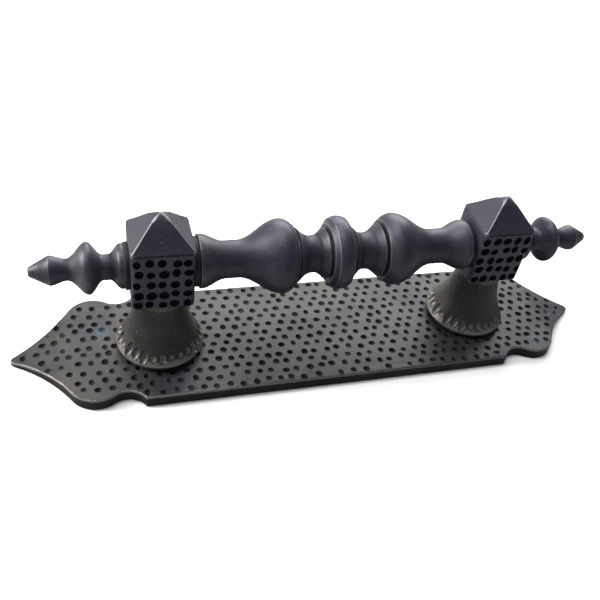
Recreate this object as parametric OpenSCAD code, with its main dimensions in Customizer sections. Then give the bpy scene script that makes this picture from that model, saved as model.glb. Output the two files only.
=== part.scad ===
// Rustic pull handle: a turned bar between two square heads, on a spear-ended plate.
// +X runs along the bar, +Z away from the door. The origin is the middle of the plate's rear face.

/* [Backplate] */
// Overall length, tip to tip
plate_len = 280; // [230:1:360]
// Width across the straight edges
plate_w = 64; // [54:0.2:80]
// Thickness
plate_t = 5.8; // [4:0.1:8]
// Length of each shaped end, from the straight edge's corner to the tip
end_len = 54.5; // [47:0.5:60]
// Distance from the tip back to the middle of the lobes
lobe_back = 35; // [32:0.5:38]
// Radius of the lobes
lobe_r = 12; // [10:0.5:13]
// How far the lobes' crests lie inside the straight edge
lobe_drop = 1.4; // [0:0.1:3]
// Radius of the cove between corner and lobe
cove_cut_r = 8.8; // [7.4:0.1:10.6]
// Radius of the blunt tip
tip_r = 2; // [1:0.1:3]
// Angle of the edge to the long axis, at the tip
tip_angle = 30; // [24:1:36]
// Length over which each tip is drawn down thinner
taper_len = 22; // [12:1:30]
// Thickness left at the tip
tip_t = 2.2; // [1.2:0.1:4]

/* [Posts] */
// Spacing of the two posts, centre to centre
post_spacing = 152.4; // [120:0.2:200]
// Radius of the steel pillar inside each foot
pillar_r = 8; // [7:0.1:9]
// Radius of the pillar's threaded lower end, which passes through the plate
spigot_r = 6.5; // [5.5:0.1:7]
// Radius of the pillar's threaded upper end, which screws into the head
stud_r = 5; // [4:0.1:6]
// Radius of the tapped bore for the door bolt
bolt_r = 4; // [3:0.5:4.5]
// Depth of that tapped bore, from the plate's rear face
bolt_depth = 24; // [16:1:28]
// Radius of the slotted nut behind the plate
nut_r = 11; // [10:0.1:14]
// Thickness of that nut
nut_t = 2.2; // [1.8:0.1:2.8]
// Width of the two spanner slots in the nut
nut_slot_w = 3; // [2:0.1:4]
// Depth of those slots
nut_slot_d = 1.1; // [0.8:0.1:1.4]

/* [Feet] */
// Radius of the flared rim
foot_rim_r = 19.2; // [17:0.1:24]
// Height of the rim's straight edge
foot_rim_h = 1.2; // [0.8:0.1:2.5]
// Radius at the top, under the head
foot_top_r = 10.4; // [9.8:0.1:14]
// Radius of the seat ring under the foot
seat_r = 15.6; // [13:0.1:16.5]
// Thickness of the seat ring, which lifts the rim off the plate
seat_t = 2.2; // [1:0.1:3]

/* [Heads] */
// Width of the block, along the bar
head_w = 25.4; // [21:0.1:31]
// Depth of the block, across the bar
head_d = 24; // [20:0.1:29]
// Height of the block, without its pyramid
head_h = 28; // [23:0.1:34]
// Height of the pyramid on top
pyramid_h = 11.6; // [7:0.1:15]
// Radius of the block's vertical edges
head_edge_r = 2; // [1:0.1:4]
// Depth of the fine line cut around the block under the pyramid
line_d = 0.4; // [0.2:0.1:0.8]
// Height of that line
line_h = 0.7; // [0.4:0.1:1.2]
// Metal left between the stud's end and the rod's bore
head_web = 2.5; // [1.5:0.1:4]

/* [Bar] */
// Height of the bar's axis above the plate's rear face
bar_z = 51.4; // [42:0.1:62]
// Radius of the tie rod
rod_r = 3; // [2.5:0.1:3.5]
// Length of rod screwed into each finial
rod_grip = 9; // [7:0.5:10]
// Radius of the centre bead's crown
bead_r = 16.2; // [14:0.1:20]
// Half width of the centre bead
bead_half = 4.9; // [4:0.1:6]
// Half width of the flat band round the bead
band_half = 3.2; // [2:0.1:3.6]
// How far the band falls from its crown to its edges
band_fall = 0.9; // [0.4:0.1:1.4]
// Radius of the coves on each side of the bead
cove_r = 8.2; // [7.4:0.1:10]
// Distance of a cove's inner side from the bar's middle
cove_in = 11.2; // [10:0.1:13]
// Distance of a cove's outer side from the bar's middle
cove_out = 12.4; // [11.5:0.1:14]
// Outer end of the spool that carries the cove
spool_end = 20.3; // [19:0.1:22]
// Width of the grooves at the spool's ends
groove_w = 1.4; // [1:0.1:2]
// Radius at the bottom of those grooves
groove_r = 10; // [8.5:0.1:11]
// Radius of the sleeves' bulges
bulge_r = 16.2; // [14:0.1:20]
// Distance of the bulges from the bar's middle
bulge_x = 25.8; // [24:0.1:30]
// Radius of the sleeves' waists
waist_r = 8.1; // [7:0.1:10]
// Length of the rise from waist to bulge
rise_len = 18.7; // [12:0.1:24]
// Radius of the sleeves' end flanges
flange_r = 11.5; // [10:0.1:14]
// Length of the flare from waist to flange
flare_len = 10.4; // [7:0.1:16]
// Length of the flange's straight rim
flange_rim = 0.8; // [0.4:0.1:2]
// Radius of the washers between heads and sleeves
washer_r = 10.6; // [9:0.1:12.5]
// Thickness of those washers
washer_t = 2.5; // [1.5:0.1:4]

/* [Finials] */
// Length of a finial, from its flange to its tip
finial_len = 36.4; // [32:0.1:44]
// Radius of the finial's flange
finial_flange_r = 9.3; // [8:0.1:12]
// Length of that flange's straight rim
finial_rim = 1.2; // [0.6:0.1:2]
// Radius of the washer between head and finial
finial_washer_r = 9.9; // [8.5:0.1:12.5]
// Thickness of that washer
finial_washer_t = 1.8; // [1:0.1:3]
// Radius of the neck next to the flange
neck_r = 5.3; // [4.8:0.1:7]
// Distance of that neck's middle from the flange face
neck_x = 7; // [6:0.1:8]
// Distance of the ring's crest from the flange face
ring_x = 14; // [12.5:0.1:16]
// Radius of the ring
ring_r = 10.7; // [9:0.1:13]
// Radius of the slim neck behind the bud
slim_r = 4.5; // [3.6:0.1:5.4]
// Distance of the slim neck's narrowest place from the flange face
slim_x = 22; // [20:0.1:23]
// Length of the bud, from its shoulder to the tip
bud_len = 7.8; // [6:0.1:10]
// Radius of the bud's shoulder
bud_r = 6.1; // [5:0.1:7.5]
// Radius of the bud's blunt tip
bud_tip_r = 2.2; // [1.4:0.1:3]

/* [Fits] */
// Radial clearance round plain shanks
running_gap = 0.2; // [0.1:0.05:0.3]
// Radial clearance of the plain cylinders that stand for threads
thread_gap = 0.1; // [0.05:0.05:0.2]

/* [Hidden] */
$fn = 96;
// Straight pieces in each curve of a profile
curve_steps = 16;
// Chamfer on the ends of studs, rod and buds
lead = 0.6;
// How far a cutter reaches past the face that it opens
cut = 1;

half_w = plate_w / 2;
corner_x = plate_len / 2 - end_len;
lobe = [plate_len / 2 - lobe_back, half_w - lobe_drop - lobe_r];
foot_z = plate_t + seat_t;
head_z = bar_z - head_h / 2;
stud_len = head_h / 2 - rod_r - running_gap - head_web;
post_x = post_spacing / 2;
head_in = post_x - head_w / 2;
head_out = post_x + head_w / 2;
sleeve_end = head_in - washer_t;
flange_in = sleeve_end - flange_rim;
squeeze = min(1, (flange_in - bulge_x) / (rise_len + flare_len));
waist_in = bulge_x + rise_len * squeeze;
waist_out = flange_in - flare_len * squeeze;
finial_x = head_out + finial_washer_t;
shank_bore_r = rod_r + running_gap;
rod_half = finial_x + rod_grip;
neck_half = 1.1;
bud_x = finial_len - bud_len;
bud_tip_x = finial_len - lead;

// Colours
iron = [0.25, 0.25, 0.28];
dark_iron = [0.19, 0.19, 0.22];
steel = [0.55, 0.55, 0.57];

// ---- curves ----

// A smooth step from a to b, level at both ends
function ease(a, b, t) = a + (b - a) * (1 - cos(180 * t)) / 2;

// Points of an arc about c, from angle a0 to a1
function arc(c, r, a0, a1) =
    [for (i = [0 : curve_steps]) let (a = a0 + (a1 - a0) * i / curve_steps) c + r * [cos(a), sin(a)]];

// Where two circles meet, on the left of the way from p to q
function meet(p, rp, q, rq) =
    let (
        d = norm(q - p),
        u = (q - p) / d,
        along = (d * d + rp * rp - rq * rq) / (2 * d),
        side = sqrt(rp * rp - along * along)
    )
    p + along * u + side * [-u[1], u[0]];

function angle_of(v) = atan2(v[1], v[0]);

// Points at even steps along a profile, from x0 to x1, as [radius, x]. A stretch that carries on
// from another one starts at its second point, first = 1.
function sampled(x0, x1, steps, radius, first = 0) =
    [for (i = [first : steps]) let (x = x0 + (x1 - x0) * i / steps) [radius(x), x]];

// ---- the plate's outline ----

// A quarter of the outline, from the tip round to the straight edge's corner.
// The sweep is tangent to the tip and to the lobe; the cove is tangent to the lobe.
function quarter() =
    let (
        tip = [plate_len / 2 - tip_r, 0],
        n = [sin(tip_angle), cos(tip_angle)],
        tip_end = tip + tip_r * n,
        gap = tip_end - lobe,
        sweep_r = (gap * gap - lobe_r * lobe_r) / (2 * (lobe_r - gap * n)),
        sweep = tip_end + sweep_r * n,
        corner = [corner_x, half_w],
        cove = meet(corner, cove_cut_r, lobe, lobe_r + cove_cut_r),
        to_lobe = angle_of(lobe - sweep),
        to_cove = angle_of(cove - lobe)
    )
    concat(
        arc(tip, tip_r, 0, 90 - tip_angle),
        arc(sweep, sweep_r, 270 - tip_angle, 360 + to_lobe),
        arc(lobe, lobe_r, to_lobe + 180, to_cove),
        arc(cove, cove_cut_r, to_cove - 180, angle_of(corner - cove))
    );

function flip(points, sx, sy) = [for (p = points) [sx * p[0], sy * p[1]]];
function reversed(points) = [for (i = [len(points) - 1 : -1 : 0]) points[i]];

module plate_outline() {
    q = quarter();
    polygon(concat(q, reversed(flip(q, -1, 1)), flip(q, -1, -1), reversed(flip(q, 1, -1))));
}

// ---- turned profiles ----

// Radius of the bar at distance x from its middle
function grip_radius(x) =
    x < cove_in ? ease(bead_r, cove_r, x / cove_in)
    : x < cove_out ? cove_r
    : x < bulge_x ? ease(cove_r, bulge_r, (x - cove_out) / (bulge_x - cove_out))
    : x < waist_in ? ease(bulge_r, waist_r, (x - bulge_x) / (waist_in - bulge_x))
    : x < waist_out ? waist_r
    : ease(waist_r, flange_r, min(1, (x - waist_out) / (flange_in - waist_out)));

function band_radius(x) = bead_r - band_fall * pow(x / band_half, 2);

// Radius of the trumpet foot at height z
function foot_radius(z) =
    let (s = (z - foot_z - foot_rim_h) / (head_z - foot_z - foot_rim_h))
    foot_top_r + (foot_rim_r - foot_top_r) * pow(1 - s, 2);

// Radius of a finial at distance x from its flange face
function finial_radius(x) =
    let (neck_in = neck_x - neck_half, neck_out = neck_x + neck_half)
    x < finial_rim ? finial_flange_r
    : x < neck_in ? ease(finial_flange_r, neck_r, (x - finial_rim) / (neck_in - finial_rim))
    : x < neck_out ? neck_r
    : x < ring_x ? ease(neck_r, ring_r, (x - neck_out) / (ring_x - neck_out))
    : x < slim_x ? ease(ring_r, slim_r, (x - ring_x) / (slim_x - ring_x))
    : x < bud_x ? ease(slim_r, bud_r, (x - slim_x) / (bud_x - slim_x))
    : bud_r + (bud_tip_r - bud_r) * (x - bud_x) / (bud_tip_x - bud_x);

// ---- placing ----

// Pieces are built on the +X side; side -1 turns them to the other end
module on_side(side) rotate(side < 0 ? 180 : 0) children();
module at_post(side) on_side(side) translate([post_x, 0, 0]) children();
module on_bar(side) on_side(side) translate([0, 0, bar_z]) rotate([0, 90, 0]) children();

// A plain ring about Z, from z0 up
module ring(outer_r, bore_r, z0, height) translate([0, 0, z0]) rotate_extrude()
    translate([bore_r, 0]) square([outer_r - bore_r, height]);

// ---- pieces ----

module backplate() color(iron) difference() {
    linear_extrude(plate_t) plate_outline();
    for (side = [-1, 1]) {
        on_side(side) tip_taper();
        at_post(side) {
            translate([0, 0, -cut]) cylinder(r = spigot_r + running_gap, h = plate_t + 2 * cut);
            translate([0, 0, -cut]) cylinder(r = nut_r + running_gap, h = nut_t + cut);
        }
    }
}

// The wedge that thins a tip
module tip_taper() {
    x0 = plate_len / 2 - taper_len;
    slope = (plate_t - tip_t) / taper_len;
    translate([0, plate_w, 0]) rotate([90, 0, 0]) linear_extrude(2 * plate_w) polygon([
        [x0, plate_t],
        [x0 + taper_len + cut, plate_t - slope * (taper_len + cut)],
        [x0 + taper_len + cut, plate_t + cut],
        [x0, plate_t + cut]
    ]);
}

module seat_ring(side) color(dark_iron) at_post(side)
    ring(seat_r, pillar_r + running_gap, plate_t, seat_t);

module foot(side) color(iron) at_post(side) rotate_extrude() polygon(concat(
    [[pillar_r + running_gap, foot_z], [foot_rim_r, foot_z]],
    sampled(foot_z + foot_rim_h, head_z, 2 * curve_steps, function (z) foot_radius(z)),
    [[pillar_r + running_gap, head_z]]
));

// The steel core: threaded below the plate, shouldered on it, threaded into the head
module pillar(side) color(steel) at_post(side) rotate_extrude() polygon([
    [bolt_r, 0],
    [spigot_r, 0],
    [spigot_r, plate_t],
    [pillar_r, plate_t],
    [pillar_r, head_z],
    [stud_r, head_z],
    [stud_r, head_z + stud_len - lead],
    [stud_r - lead, head_z + stud_len],
    [0, head_z + stud_len],
    [0, bolt_depth + bolt_r / 2],
    [bolt_r, bolt_depth]
]);

module rear_nut(side) color(steel) at_post(side) difference() {
    ring(nut_r, spigot_r + thread_gap, 0, nut_t);
    translate([-nut_r - cut, -nut_slot_w / 2, -cut]) cube([2 * (nut_r + cut), nut_slot_w, nut_slot_d + cut]);
}

// An oblong with round corners, made of two bars and four discs
module rounded_oblong(w, d, r) {
    square([w, d - 2 * r], center = true);
    square([w - 2 * r, d], center = true);
    for (sx = [-1, 1], sy = [-1, 1]) translate([sx * (w / 2 - r), sy * (d / 2 - r)]) circle(r);
}

// A block with a pyramid on top
module pointed_block() polyhedron(
    points = [
        for (z = [head_z, head_z + head_h], y = [-1, 1], x = [-1, 1]) [x * head_w / 2, y * head_d / 2, z],
        [0, 0, head_z + head_h + pyramid_h]
    ],
    faces = [
        [0, 1, 3, 2], [0, 4, 5, 1], [1, 5, 7, 3], [3, 7, 6, 2], [2, 6, 4, 0],
        [4, 8, 5], [5, 8, 7], [7, 8, 6], [6, 8, 4]
    ]
);

module head(side) color(iron) at_post(side) difference() {
    intersection() {
        pointed_block();
        translate([0, 0, head_z - cut]) linear_extrude(head_h + pyramid_h + 2 * cut)
            rounded_oblong(head_w, head_d, head_edge_r);
    }
    translate([0, 0, head_z + head_h - line_h]) linear_extrude(line_h) difference() {
        square([head_w, head_d] + 2 * cut * [1, 1], center = true);
        rounded_oblong(head_w - 2 * line_d, head_d - 2 * line_d, head_edge_r);
    }
    translate([0, 0, head_z - cut]) cylinder(r = stud_r + thread_gap, h = stud_len + thread_gap + cut);
    translate([0, 0, bar_z]) rotate([0, 90, 0])
        cylinder(r = shank_bore_r, h = head_w + 2 * cut, center = true);
}

module tie_rod() color(steel) on_bar(1) rotate_extrude() polygon([
    [0, -rod_half],
    [rod_r - lead, -rod_half],
    [rod_r, -rod_half + lead],
    [rod_r, rod_half - lead],
    [rod_r - lead, rod_half],
    [0, rod_half]
]);

module head_washer(side) color(dark_iron) on_bar(side)
    ring(washer_r, shank_bore_r, sleeve_end, washer_t);

module grip_sleeve(side) color(iron) on_bar(side) rotate_extrude() polygon(concat(
    [[shank_bore_r, spool_end]],
    sampled(spool_end, bulge_x, curve_steps, function (x) grip_radius(x)),
    sampled(bulge_x, waist_in, curve_steps, function (x) grip_radius(x), first = 1),
    sampled(waist_out, flange_in, curve_steps, function (x) grip_radius(x)),
    [[flange_r, sleeve_end], [shank_bore_r, sleeve_end]]
));

module grip_spool(side) color(iron) on_bar(side) rotate_extrude() polygon(concat(
    [[shank_bore_r, bead_half], [groove_r, bead_half], [groove_r, bead_half + groove_w]],
    sampled(bead_half + groove_w, cove_in, curve_steps, function (x) grip_radius(x)),
    sampled(cove_out, spool_end - groove_w, curve_steps, function (x) grip_radius(x)),
    [[groove_r, spool_end - groove_w], [groove_r, spool_end], [shank_bore_r, spool_end]]
));

module centre_bead() color(iron) on_bar(1) rotate_extrude() polygon(concat(
    [[shank_bore_r, -bead_half], [grip_radius(bead_half), -bead_half]],
    sampled(-band_half, band_half, curve_steps, function (x) band_radius(x)),
    [[grip_radius(bead_half), bead_half], [shank_bore_r, bead_half]]
));

module finial_washer(side) color(dark_iron) on_bar(side)
    ring(finial_washer_r, shank_bore_r, head_out, finial_washer_t);

// Screwed on the end of the tie rod by its blind bore
module finial(side) color(iron) on_bar(side) translate([0, 0, finial_x]) rotate_extrude() polygon(concat(
    [[rod_r + thread_gap, 0], [finial_flange_r, 0]],
    sampled(finial_rim, neck_x - neck_half, curve_steps, function (x) finial_radius(x)),
    sampled(neck_x + neck_half, ring_x, curve_steps, function (x) finial_radius(x)),
    sampled(ring_x, slim_x, curve_steps, function (x) finial_radius(x), first = 1),
    sampled(slim_x, bud_x, curve_steps, function (x) finial_radius(x), first = 1),
    [[bud_tip_r, bud_tip_x], [bud_tip_r - lead, finial_len], [0, finial_len]],
    [[0, rod_grip + rod_r], [rod_r + thread_gap, rod_grip + lead]]
));

backplate();
seat_ring(-1);  // seat_ring_left
seat_ring(1);  // seat_ring_right
foot(-1);  // foot_left
foot(1);  // foot_right
pillar(-1);  // pillar_left
pillar(1);  // pillar_right
rear_nut(-1);  // rear_nut_left
rear_nut(1);  // rear_nut_right
head(-1);  // head_left
head(1);  // head_right
tie_rod();
head_washer(-1);  // head_washer_left
head_washer(1);  // head_washer_right
grip_sleeve(-1);  // grip_sleeve_left
grip_sleeve(1);  // grip_sleeve_right
grip_spool(-1);  // grip_spool_left
grip_spool(1);  // grip_spool_right
centre_bead();
finial_washer(-1);  // finial_washer_left
finial_washer(1);  // finial_washer_right
finial(-1);  // finial_left
finial(1);  // finial_right
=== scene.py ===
# %% [markdown]
# # A rustic pull handle on a hammered plate
#
# The handle is cast and forged iron with a black finish that hands have rubbed. A turned bar runs between
# two square heads with pyramid tops, each head stands on a trumpet foot, and both feet stand on a plate
# whose ends are drawn out to points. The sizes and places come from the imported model, which is loaded
# first and never changed. Its nodes give every box, outline and turned profile that is measured below.

# %% Load the frame
import math

import bmesh
import bpy
from mathutils import Matrix, Vector, geometry, noise


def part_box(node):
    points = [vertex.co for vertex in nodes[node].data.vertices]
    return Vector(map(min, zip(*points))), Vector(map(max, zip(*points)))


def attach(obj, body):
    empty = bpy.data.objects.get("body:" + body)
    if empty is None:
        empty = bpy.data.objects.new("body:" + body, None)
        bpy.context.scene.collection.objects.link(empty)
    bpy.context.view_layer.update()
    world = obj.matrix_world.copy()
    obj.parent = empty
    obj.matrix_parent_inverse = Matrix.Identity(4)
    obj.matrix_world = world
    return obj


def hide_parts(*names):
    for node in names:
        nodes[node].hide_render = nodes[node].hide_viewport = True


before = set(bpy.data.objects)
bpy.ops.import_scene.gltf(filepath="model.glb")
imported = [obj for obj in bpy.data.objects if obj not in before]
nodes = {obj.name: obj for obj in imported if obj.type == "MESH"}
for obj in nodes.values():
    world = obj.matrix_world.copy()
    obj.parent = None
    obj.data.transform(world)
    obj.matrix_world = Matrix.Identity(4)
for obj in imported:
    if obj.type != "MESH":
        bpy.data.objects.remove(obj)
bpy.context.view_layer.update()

MM = 0.001

# %% [markdown]
# ## Camera
#
# A small product like this is looked down on from over its near left corner. A camera has a place, a way
# it looks and a way its top points, so these three vectors are the plainest way to aim it: the columns of
# its matrix are right, up and back. A focal length of 42 mm on a 36 mm sensor is a normal lens held close,
# which is what makes the near head look larger than the far one.

# %% Aim the camera
CAMERA_AT = Vector((-102.5, -222.4, 239.9)) * MM
CAMERA_LOOKS = Vector((0.2777, 0.6896, -0.6689)).normalized()
CAMERA_TOP = Vector((0.0796, 0.6773, 0.7314))
LENS = 42.18
SENSOR = 36.0
NEAREST_SEEN = 0.01
FARTHEST_SEEN = 20

scene = bpy.context.scene
camera = bpy.data.objects.new("camera", bpy.data.cameras.new("camera"))
scene.collection.objects.link(camera)
right = CAMERA_LOOKS.cross(CAMERA_TOP).normalized()
top = right.cross(CAMERA_LOOKS)
facing = Matrix((right, top, -CAMERA_LOOKS)).transposed().to_4x4()
camera.matrix_world = Matrix.Translation(CAMERA_AT) @ facing
camera.data.lens = LENS
camera.data.sensor_width = SENSOR
camera.data.clip_start = NEAREST_SEEN
camera.data.clip_end = FARTHEST_SEEN
scene.camera = camera
print("camera: lens", LENS, "mm, looking down", round(math.degrees(math.asin(-CAMERA_LOOKS.z))), "degrees")

# %% [markdown]
# ## One way to build node trees
#
# Both materials and Geometry Nodes are graphs of nodes, and a graph is hard to read as a list of links.
# Two small classes make it read like ordinary code. A Wire is a socket that knows arithmetic: adding or
# multiplying wires makes Math nodes. A Graph makes every other node with one method, which takes the
# node's type, its settings and the values or wires of its sockets. The reflected forms let 1 - mask work
# too.

# %% Wires and graphs
class Wire:
    """An output socket whose arithmetic adds Math nodes."""

    def __init__(self, graph, socket):
        self.graph = graph
        self.socket = socket

    def math(self, operation, other=None, swap=False):
        """A Math node on this wire, and on another wire or number if one is given."""
        values = [self] if other is None else [other, self] if swap else [self, other]
        return self.graph.add("ShaderNodeMath", {"operation": operation}, dict(enumerate(values)))

    def __add__(self, other):
        return self.math("ADD", other)

    def __sub__(self, other):
        return self.math("SUBTRACT", other)

    def __rsub__(self, other):
        return self.math("SUBTRACT", other, swap=True)

    def __mul__(self, other):
        return self.math("MULTIPLY", other)

    def __truediv__(self, other):
        return self.math("DIVIDE", other)

    def __mod__(self, other):
        return self.math("MODULO", other)

    __radd__ = __add__
    __rmul__ = __mul__


class Graph:
    """A node tree that is filled by calls, one for each node."""

    def __init__(self, tree):
        self.tree = tree

    def add(self, kind, settings=None, sockets=None, out=0):
        """Adds a node, sets it up, fills its sockets and returns one of its outputs."""
        node = self.tree.nodes.new(kind)
        for name, value in (settings or {}).items():
            if name == "stops":
                self.set_stops(node.color_ramp, value)
            else:
                setattr(node, name, value)
        for key, value in (sockets or {}).items():
            if isinstance(value, Wire):
                self.tree.links.new(value.socket, node.inputs[key])
            else:
                node.inputs[key].default_value = value
        return Wire(self, node.outputs[out]) if node.outputs else node

    def set_stops(self, ramp, stops):
        """Gives a colour ramp its (place, grey) stops."""
        while len(ramp.elements) < len(stops):
            ramp.elements.new(1.0)
        for element, (place, grey) in zip(ramp.elements, stops):
            element.position = place
            element.color = (grey, grey, grey, 1)


print("node helpers: Wire and Graph")

# %% [markdown]
# ## Meshes measured from the model
#
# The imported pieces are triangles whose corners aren't joined, so each one is copied and its doubled
# corners are merged before anything is read from it. The first thing to read is the plate's outline. It is
# the edge of the upward faces, so it is found as the edges that have one such face, walked from end to
# end.

# %% Read the plate's outline
MERGE = 1e-6
NEAR = 3e-5
FACES_UP = 0.9


def merged(node):
    """A copy of a node's mesh with its doubled corners merged."""
    mesh = bmesh.new()
    mesh.from_mesh(nodes[node].data)
    bmesh.ops.remove_doubles(mesh, verts=mesh.verts, dist=MERGE)
    mesh.normal_update()
    return mesh


def walk(links, start):
    """Follows a chain or a loop of neighbours from start until every one has been met."""
    path, seen = [start], {start}
    while True:
        onward = [k for k in links[path[-1]] if k not in seen]
        if not onward:
            return path
        path.append(onward[0])
        seen.add(onward[0])


def top_outline(node):
    """The longest edge loop round a node's upward faces, anticlockwise, as points."""
    mesh = merged(node)
    links = {}
    for edge in mesh.edges:
        if sum(face.normal.z > FACES_UP for face in edge.link_faces) == 1:
            a, b = edge.verts
            links.setdefault(a, []).append(b)
            links.setdefault(b, []).append(a)
    loops = []
    while links:
        loop = walk(links, next(iter(links)))
        loops.append([v.co.copy() for v in loop])
        for vert in loop:
            del links[vert]
    mesh.free()
    outline = max(loops, key=lambda loop: max(p.x for p in loop) - min(p.x for p in loop))
    area = sum(a.x * b.y - b.x * a.y for a, b in zip(outline, outline[1:] + outline[:1]))
    return outline if area > 0 else outline[::-1]


outline = top_outline("backplate")
print("backplate outline:", len(outline), "points")

# %% [markdown]
# The second thing is the profile of a turned piece, which is the set of its corners as pairs of place
# along the axis and radius. The mesh's own edges say which pairs are neighbours, so walking them gives the
# profile in order. A triangle whose corners all lie on one ring belongs to a flat end, so that ring also
# reaches the axis.

# %% Read a turned profile
ALONG = 0
UPWARDS = 2


def turned_profile(node, axis):
    """The profile of a piece turned about the line through its middle: (place, radius) pairs in order."""
    low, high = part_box(node)
    middle = (low + high) / 2
    mesh = merged(node)
    known, keys = [], {}
    for vert in mesh.verts:
        out = vert.co - middle
        out[axis] = 0
        place, radius = vert.co[axis], out.length
        for key in known:
            if abs(key[0] - place) < NEAR and abs(key[1] - radius) < NEAR:
                break
        else:
            key = (place, radius if radius > NEAR else 0.0)
            known.append(key)
        keys[vert] = key
    links = {}
    for edge in mesh.edges:
        a, b = (keys[vert] for vert in edge.verts)
        if a != b:
            links.setdefault(a, set()).add(b)
            links.setdefault(b, set()).add(a)
    for face in mesh.faces:
        rings = {keys[vert] for vert in face.verts}
        if len(rings) == 1:
            rim = rings.pop()
            hub = (rim[0], 0.0)
            links.setdefault(rim, set()).add(hub)
            links.setdefault(hub, set()).add(rim)
    mesh.free()
    ends = [k for k in links if k[1] == 0]
    return walk(links, min(ends or links)), not ends


bead_profile, bead_closed = turned_profile("centre_bead", ALONG)
print("centre bead:", len(bead_profile), "points round its section, a ring:", bead_closed)

# %% [markdown]
# ## Turning
#
# Every bar piece, washer, finial and foot was shaped on a lathe or in a turned mould, so its mesh is a
# profile swept round an axis. The profile comes from the model. Its sharp corners are rounded a little, as
# rubbing rounds them, and short straight steps beside each rounding keep the flat faces flat when shaded.

# %% Round a profile's corners
SHARP = math.radians(24)
ROUNDING = 0.35 * MM
ROUNDING_SHARE = 0.3
ROUNDING_STEPS = (0, 0.35, 0.65, 1)
SUPPORT = 1.6


def soften(points, closed, radius):
    """The profile with its sharp corners rounded, as (place, radius, rounded) triples."""
    count, made = len(points), []
    for i, point in enumerate(points):
        here = Vector(point)
        if not closed and i in (0, count - 1):
            made.append((*here, 0.0))
            continue
        before, after = Vector(points[i - 1]) - here, Vector(points[(i + 1) % count]) - here
        if math.pi - before.angle(after) < SHARP:
            made.append((*here, 0.0))
            continue
        r = min(radius, ROUNDING_SHARE * before.length, ROUNDING_SHARE * after.length)
        a, b = here + before.normalized() * r, here + after.normalized() * r
        made.append((*(here + before.normalized() * SUPPORT * r), 0.0))
        for t in ROUNDING_STEPS:
            made.append((*((1 - t) ** 2 * a + 2 * t * (1 - t) * here + t * t * b), 1.0))
        made.append((*(here + after.normalized() * SUPPORT * r), 0.0))
    return made


print("rounding:", ROUNDING / MM, "mm, at turns sharper than", round(math.degrees(SHARP)), "degrees")

# %% [markdown]
# The materials need to know where hands rub and where shade is painted in. A point that stands further from
# the axis than its neighbours is on a crest, and one that lies deeper is in a groove, which is painted
# darker as shade. What lies close to the axis is a tip, and counts as a crest.

# %% Find crests and grooves
WINDOW = 3.5 * MM
CREST = 1.1 * MM
TIP = 2.5 * MM


def crests(points):
    """How far each point stands out of its surroundings, as a share of CREST, from -1 to 1."""
    found = []
    for place, radius, _ in points:
        if radius < TIP:
            found.append(1.0)
            continue
        near = [p[1] for p in points if abs(p[0] - place) < WINDOW and abs(p[1] - radius) < 3 * WINDOW]
        found.append(max(-1.0, min(1.0, (radius - sum(near) / len(near)) / CREST)))
    return found


bead_crests = crests([(*pair, 0.0) for pair in bead_profile])
print("centre bead: crests from", round(min(bead_crests), 2), "to", round(max(bead_crests), 2))

# %% [markdown]
# Meshes made from lists all end in the same way: doubled corners are merged, the faces are turned outwards
# and the shading is smooth. Each point can carry named numbers, which a material reads with an Attribute
# node.

# %% Finish a mesh and place it
def finished_mesh(name, verts, faces, attributes):
    """A mesh from lists, with float point attributes, whose faces point outwards."""
    mesh = bpy.data.meshes.new(name)
    mesh.from_pydata(verts, [], faces)
    for key, values in attributes.items():
        mesh.attributes.new(key, "FLOAT", "POINT").data.foreach_set("value", values)
    work = bmesh.new()
    work.from_mesh(mesh)
    bmesh.ops.remove_doubles(work, verts=work.verts, dist=MERGE)
    bmesh.ops.recalc_face_normals(work, faces=work.faces)
    work.to_mesh(mesh)
    work.free()
    mesh.shade_smooth()
    return mesh


def piece(name, mesh, *materials):
    """An object in the scene with its materials in order."""
    made = bpy.data.objects.new(name, mesh)
    scene.collection.objects.link(made)
    for material in materials:
        made.data.materials.append(material)
    return made


print("mesh helpers: finished_mesh and piece")

# %% [markdown]
# Now the sweep. Each profile point becomes a ring, or one corner if it is on the axis, and neighbouring
# rings are joined with faces. Every point keeps how worn and highlighted it is and how much painted shade
# it takes. A hand-finished piece isn't perfectly round, so a slow noise takes up to a tenth of a millimetre
# off it, always inwards.

# %% Sweep a profile
TURN_SEGMENTS = 112
UNEVEN = 0.09 * MM
UNEVEN_LUMP = 6 * MM
LEAST_LEFT = 0.2
CREST_RUBBED = 0.55


def turn(name, points, closed, axis, middle, segments=TURN_SEGMENTS, uneven=UNEVEN):
    """A closed mesh: the profile swept about an axis, with the attributes for wear and highlight and for
    painted shade.
    """
    out_of = crests(points)
    verts, rings, rubbed, grime = [], [], [], []
    side, up = Vector((0, 1, 0)), Vector((0, 0, 1))
    if axis == UPWARDS:
        side, up = Vector((1, 0, 0)), Vector((0, 1, 0))
    for (place, radius, corner), crest in zip(points, out_of):
        steps = segments if radius > 0 else 1
        ring = []
        for k in range(steps):
            turn_by = 2 * math.pi * k / steps
            way = side * math.cos(turn_by) + up * math.sin(turn_by)
            lump = Vector((place, *(way * radius).yz)) / UNEVEN_LUMP
            worn = uneven * (0.5 + 0.5 * noise.noise(lump))
            spot = middle + way * max(radius - worn, LEAST_LEFT * radius)
            spot[axis] = place
            ring.append(len(verts))
            verts.append(spot)
            rubbed.append(max(corner, CREST_RUBBED * max(crest, 0)))
            grime.append(max(-crest, 0) * (1 - corner))
        rings.append(ring)
    faces = []
    pairs = list(zip(rings, rings[1:] + rings[:1])) if closed else list(zip(rings, rings[1:]))
    for a, b in pairs:
        for k in range(max(len(a), len(b))):
            quad = [a[k % len(a)], a[(k + 1) % len(a)], b[(k + 1) % len(b)], b[k % len(b)]]
            faces.append(list(dict.fromkeys(quad)))
    return finished_mesh(name, verts, faces, {"rubbed": rubbed, "grime": grime})


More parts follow.
